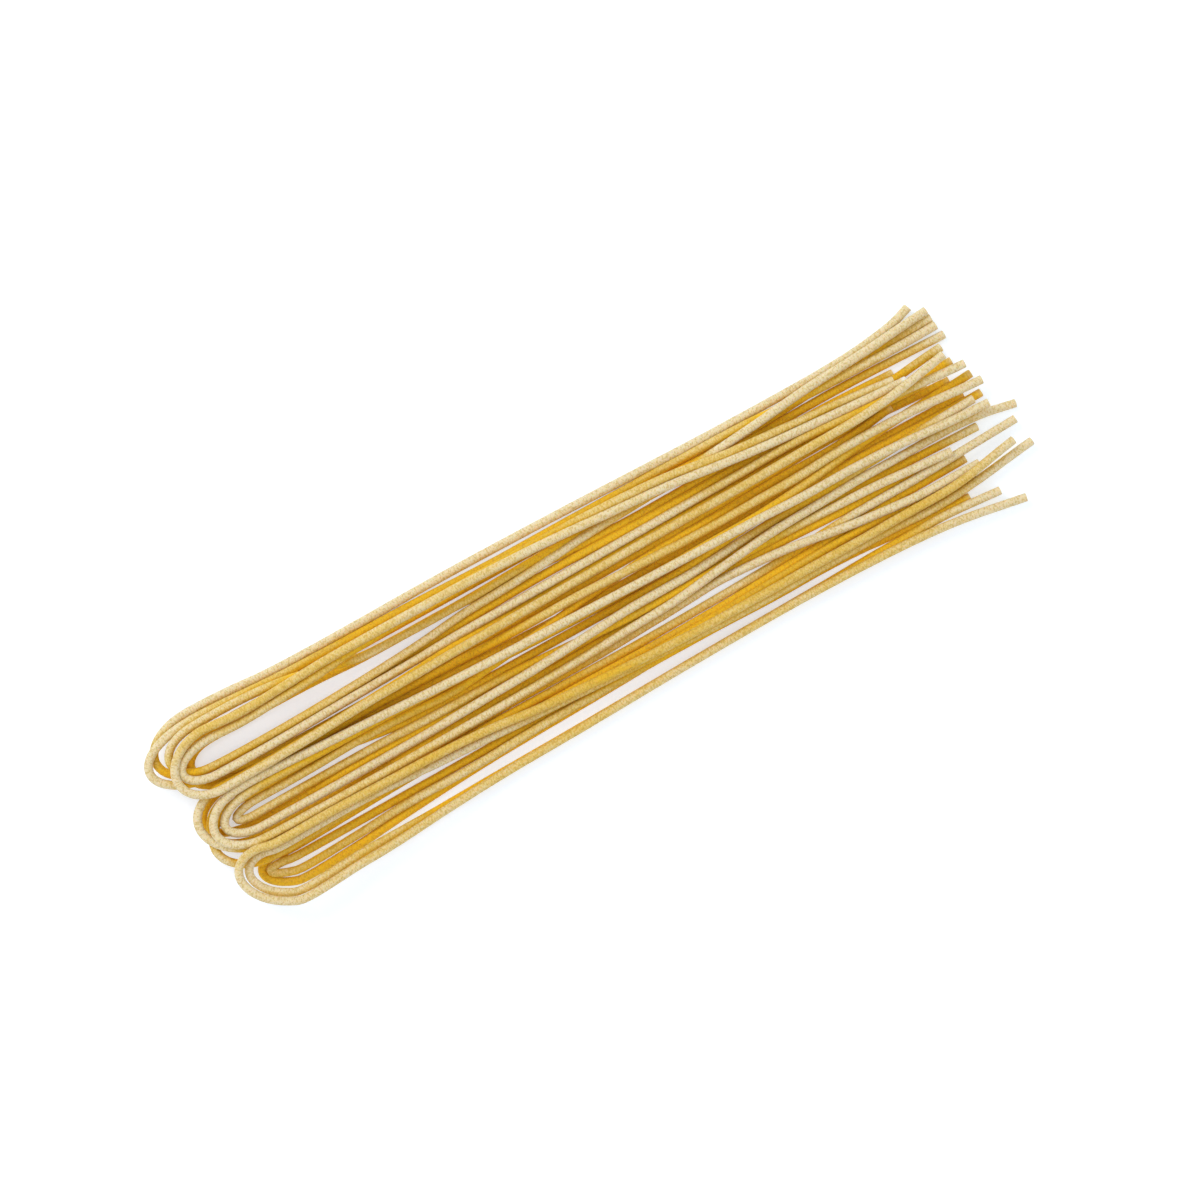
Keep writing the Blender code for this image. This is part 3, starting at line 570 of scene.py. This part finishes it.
def make_pasta_finish(finish):
    """Dry durum pasta: a rough skin, pale where it lies open, partly floury and partly a painted highlight;
    golden flanks in painted half shade; and amber in painted shade, with a painted glow of bounced light
    deep below.

    The colour goes from the painted deep glow to amber to gold to pale with the sky that a point sees, less
    the strand's own goldness. Short cross cracks and slow patches break it up along the strand.
    """
    graph = Graph("dry_pasta")
    own_place = graph.attribute("own_place", "Vector")
    cut = graph.attribute("cut", "Fac")
    ticks = graph.noise(graph.stretched(own_place, (2100.0, 1200.0, 1200.0)), 2.0, 0.7, 0.3)
    grain = graph.noise(graph.stretched(own_place, (5200.0, 3600.0, 3600.0)), 2.0, 0.6)
    patches = graph.noise(graph.stretched(own_place, (120.0, 300.0, 300.0)), 3.0, 0.55)

    # Painted light and shade: the colours below follow how much of the sky a point sees.
    open_sky = graph.spread(graph.attribute("sky", "Fac"), 0.0, 0.9)
    level = graph.math("ADD", open_sky, graph.spread(patches, 0.25, 0.75, -0.07, 0.07))
    level = graph.math("MULTIPLY_ADD", graph.attribute("gold", "Fac"), -finish.gold_share, level)
    # Pale is partly floury skin and partly a painted highlight on tops that lie open to the sky.
    pale = graph.spread(level, 0.50, 0.78)
    pale = graph.math("MULTIPLY", pale, graph.spread(ticks, 0.38, 0.58, 0.62, finish.dust_share))

    # Golden marks painted half shade on the flanks, amber painted shade lower down, and the deep colour a
    # painted glow of bounced light deep in the bundle.
    golden = graph.spread(level, 0.20, 0.60)
    amber = graph.mix(graph.spread(level, 0.05, 0.40), (*finish.painted_deep_glow_color, 1.0), (*finish.amber_and_shade_color, 1.0))
    color = graph.mix(golden, amber, (*finish.pasta_color, 1.0))
    flecks = graph.math("MULTIPLY", golden, graph.spread(ticks, 0.50, 0.64, 0.0, 0.45))
    color = graph.mix(flecks, color, (*finish.dust_and_highlight_color, 1.0))
    color = graph.mix(pale, color, (*finish.dust_and_highlight_color, 1.0))
    color = graph.mix(graph.spread(ticks, 0.54, 0.36), color, CRACK_SHADE, "MULTIPLY")
    color = graph.mix(graph.spread(cut, 0.0, 1.0, 0.0, 0.75), color, (*finish.cut_color, 1.0))
    color = graph.mix(graph.spread(cut, 0.9, 1.4), color, (*finish.white_color, 1.0))

    shader = graph.shader
    graph.plug(color, shader.inputs["Base Color"])
    graph.plug(graph.spread(ticks, 0.3, 0.7, 0.55, 0.8), shader.inputs["Roughness"])
    relief = graph.bump(grain, 0.30, 0.03 * MM, graph.bump(ticks, 1.0, 0.12 * MM))
    graph.plug(relief, shader.inputs["Normal"])
    shader.inputs["IOR"].default_value = 1.5
    shader.inputs["Specular IOR Level"].default_value = 0.28
    shader.inputs["Subsurface Weight"].default_value = finish.translucency
    shader.inputs["Subsurface Radius"].default_value = (1.0, 0.6, 0.2)
    shader.inputs["Subsurface Scale"].default_value = 1.0 * MM
    shader.inputs["Sheen Weight"].default_value = 0.06
    shader.inputs["Sheen Roughness"].default_value = 0.6
    return graph.material


def make_floor_finish(stage):
    """A smooth matt white surface, faintly lit from below as a light table is."""
    graph = Graph("white_surface")
    texture = graph.nodes.new("ShaderNodeTexCoord")
    mottle = graph.noise(graph.stretched(texture.outputs["Object"], (8.0, 8.0, 8.0)), 2.0, 0.5)
    shade = tuple(0.985 * part for part in stage.floor_color)
    color = graph.mix(graph.spread(mottle, 0.3, 0.7), (*shade, 1.0), (*stage.floor_color, 1.0))
    graph.plug(color, graph.shader.inputs["Base Color"])
    graph.shader.inputs["Emission Color"].default_value = GLOW_COLOR
    graph.shader.inputs["Emission Strength"].default_value = stage.floor_glow
    graph.shader.inputs["Roughness"].default_value = 0.9
    graph.shader.inputs["Specular IOR Level"].default_value = 0.1
    return graph.material


class StrandSettings(PropertyGroup):
    """Sizes of the strands' surface."""

    thickness: FloatProperty(
        name="Thickness", description="Thickness of the thickest strand",
        default=2.42 * MM, min=1.0 * MM, max=2.43 * MM, unit="LENGTH", precision=5)
    ring_step: FloatProperty(
        name="Ring Step", description="Distance between two rings of a strand",
        default=0.6 * MM, min=0.3 * MM, max=5 * MM, unit="LENGTH", precision=5)
    ring_sides: IntProperty(
        name="Ring Sides", description="Points of each ring", default=16, min=6, max=32)
    seed: IntProperty(
        name="Seed", description="Picks the small differences between the strands", default=7, min=0)


class FinishSettings(PropertyGroup):
    """Colours of the pasta, with painted light and shade."""

    # The pasta's own golden colour, painted where a point sees only part of the sky, as on a flank in
    # painted half shade.
    pasta_color: FloatVectorProperty(
        name="Pasta", description="Golden flank of a strand", subtype="COLOR", size=3,
        default=(0.76, 0.545, 0.155), min=0.0, max=1.0)
    # The pasta's clear amber, used as painted shade where a point sees little of the sky.
    amber_and_shade_color: FloatVectorProperty(
        name="Amber", description="Clear colour of a strand without floury skin", subtype="COLOR", size=3,
        default=(0.72, 0.440, 0.014), min=0.0, max=1.0)
    # Painted glow: the bounced light deep in the bundle, painted as a bright amber where a point sees almost
    # no sky.
    painted_deep_glow_color: FloatVectorProperty(
        name="Deep", description="Glowing colour of the strands deep in the bundle", subtype="COLOR", size=3,
        default=(0.86, 0.505, 0.007), min=0.0, max=1.0)
    # Partly floury skin and dust flecks, partly a painted highlight on tops that lie open to the sky.
    dust_and_highlight_color: FloatVectorProperty(
        name="Dust", description="Pale floury skin on top of a strand", subtype="COLOR", size=3,
        default=(0.81, 0.685, 0.43), min=0.0, max=1.0)
    cut_color: FloatVectorProperty(
        name="Cut", description="Pale broken face at a tip", subtype="COLOR", size=3,
        default=(0.84, 0.70, 0.42), min=0.0, max=1.0)
    white_color: FloatVectorProperty(
        name="White Tip", description="Floury white of the topmost strand's tip", subtype="COLOR", size=3,
        default=(0.86, 0.84, 0.74), min=0.0, max=1.0)
    dust_share: FloatProperty(
        name="Dust Share", description="How strongly the floury skin covers the top",
        default=0.97, min=0.0, max=1.0, subtype="FACTOR")
    gold_share: FloatProperty(
        name="Gold Share", description="How much the strands' own goldness shows",
        default=0.4, min=0.0, max=1.0, subtype="FACTOR")
    translucency: FloatProperty(
        name="Translucency", description="How much light passes under the skin",
        default=0.25, min=0.0, max=1.0, subtype="FACTOR")


class StageSettings(PropertyGroup):
    """The surface, the lights and the camera."""

    floor_color: FloatVectorProperty(
        name="Surface", description="Colour of the surface under the bundle", subtype="COLOR", size=3,
        default=(0.72, 0.73, 0.76), min=0.0, max=1.0)
    floor_glow: FloatProperty(
        name="Surface Glow", description="Light that comes up through the surface", default=0.55, min=0.0)
    key_power: FloatProperty(
        name="Key Power", description="Power of the large soft light", default=4.5, min=0.0, unit="POWER")
    fill_power: FloatProperty(
        name="Fill Power", description="Power of the overhead light", default=3.5, min=0.0, unit="POWER")
    sky_strength: FloatProperty(
        name="Sky Strength", description="Strength of the even light from all sides", default=0.72, min=0.0)
    lens: FloatProperty(
        name="Lens", description="Focal length of the camera in millimetres", default=100.0, min=20.0)
    turn: FloatProperty(
        name="Turn", description="How far the bundle is turned in the view",
        default=math.radians(29.3), subtype="ANGLE")


class PASTA_OT_make_strands(Operator):
    """Make the strands of the three groups and let them stand for the solid bundle"""

    bl_idname = "pasta.make_strands"
    bl_label = "Make Strands"

    def execute(self, context):
        settings = context.scene.pasta_strands
        routes = lay_hairpins()
        strands = {group: [] for group in GROUPS}
        for number, (hairpin, route, edges) in enumerate(zip(HAIRPINS, routes, sky_edges(routes))):
            random = np.random.default_rng([settings.seed, number])
            group = hairpin[0]
            gold = strand_gold(route, hairpin[3], hairpin[4]) + random.uniform(-OWN_GOLD, OWN_GOLD)
            white_tip = number == len(HAIRPINS) - 1
            strands[group].append(strand_rings(route, edges, gold, white_tip, settings, random))
        everything = [strand[0].reshape(-1, 3) for group in GROUPS for strand in strands[group]]
        everything = np.concatenate(everything)
        middle = (everything.min(axis=0) + everything.max(axis=0)) / 2
        shift = (BUNDLE_LOW + BUNDLE_HIGH) / 2 - middle
        shift[2] = BUNDLE_LOW[2] - min(0.0, everything[:, 2].min())
        finish = make_pasta_finish(context.scene.pasta_finish)
        for group in GROUPS:
            moved = [(places + shift, *rest) for places, *rest in strands[group]]
            mesh = strands_mesh(group + "_strands", moved)
            mesh.materials.append(finish)
            piece = bpy.data.objects.new(group + "_strands", mesh)
            context.scene.collection.objects.link(piece)
            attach(piece, "root")
            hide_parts(BUNDLE_NODE)
        return {"FINISHED"}


def aim_at(item, place, target):
    item.location = place
    item.rotation_euler = (Vector(target) - Vector(place)).to_track_quat("-Z", "Y").to_euler()


class PASTA_OT_make_stage(Operator):
    """Make the pale surface, the soft lights and the camera above the bundle"""

    bl_idname = "pasta.make_stage"
    bl_label = "Make Stage"

    def execute(self, context):
        settings = context.scene.pasta_stage
        self.make_floor(context, settings)
        self.make_lights(context, settings)
        self.make_camera(context, settings)
        return {"FINISHED"}

    def make_floor(self, context, settings):
        size = FLOOR_SIZE / 2
        mesh = bpy.data.meshes.new("surface")
        level = BUNDLE_LOW[2] - FLOOR_GAP
        corners = [(-size, -size, level), (size, -size, level), (size, size, level), (-size, size, level)]
        mesh.from_pydata(corners, [], [(0, 1, 2, 3)])
        mesh.materials.append(make_floor_finish(settings))
        floor = bpy.data.objects.new("surface", mesh)
        context.scene.collection.objects.link(floor)

    def make_lights(self, context, settings):
        for name, power, size, place in (("key", settings.key_power, KEY_SIZE, KEY_PLACE),
                                         ("fill", settings.fill_power, FILL_SIZE, FILL_PLACE)):
            light = bpy.data.lights.new(name, "AREA")
            light.shape = "DISK"
            light.size = size
            light.energy = power
            item = bpy.data.objects.new(name, light)
            context.scene.collection.objects.link(item)
            aim_at(item, place, (0.0, 0.0, 0.0))
        world = bpy.data.worlds.new("studio")
        world.use_nodes = True
        world.node_tree.nodes["Background"].inputs["Color"].default_value = SKY_COLOR
        world.node_tree.nodes["Background"].inputs["Strength"].default_value = settings.sky_strength
        context.scene.world = world
        context.scene.view_settings.view_transform = "Standard"

    def make_camera(self, context, settings):
        camera = bpy.data.cameras.new("camera")
        camera.lens = settings.lens
        height = VIEW_WIDTH * camera.lens / camera.sensor_width
        camera.clip_end = 10.0
        item = bpy.data.objects.new("camera", camera)
        item.location = (VIEW_MIDDLE[0], VIEW_MIDDLE[1], height)
        item.rotation_euler = (0.0, 0.0, -settings.turn)
        context.scene.collection.objects.link(item)
        context.scene.camera = item


class PASTA_PT_bundle(Panel):
    """The bundle's settings and the buttons that make its pieces"""

    bl_idname = "PASTA_PT_bundle"
    bl_label = "Spaghetti Bundle"
    bl_space_type = "VIEW_3D"
    bl_region_type = "UI"
    bl_category = "Pasta"

    def draw(self, context):
        layout = self.layout
        for settings in (context.scene.pasta_strands, context.scene.pasta_finish):
            for name in settings.__annotations__:
                layout.prop(settings, name)
        layout.operator("pasta.make_strands")
        for name in context.scene.pasta_stage.__annotations__:
            layout.prop(context.scene.pasta_stage, name)
        layout.operator("pasta.make_stage")


CLASSES = (StrandSettings, FinishSettings, StageSettings,
           PASTA_OT_make_strands, PASTA_OT_make_stage, PASTA_PT_bundle)


def register():
    for item in CLASSES:
        bpy.utils.register_class(item)
    bpy.types.Scene.pasta_strands = PointerProperty(type=StrandSettings)
    bpy.types.Scene.pasta_finish = PointerProperty(type=FinishSettings)
    bpy.types.Scene.pasta_stage = PointerProperty(type=StageSettings)


def unregister():
    del bpy.types.Scene.pasta_strands
    del bpy.types.Scene.pasta_finish
    del bpy.types.Scene.pasta_stage
    for item in reversed(CLASSES):
        bpy.utils.unregister_class(item)


def main():
    register()
    bpy.ops.pasta.make_strands()
    bpy.ops.pasta.make_stage()


if __name__ == "__main__":
    main()
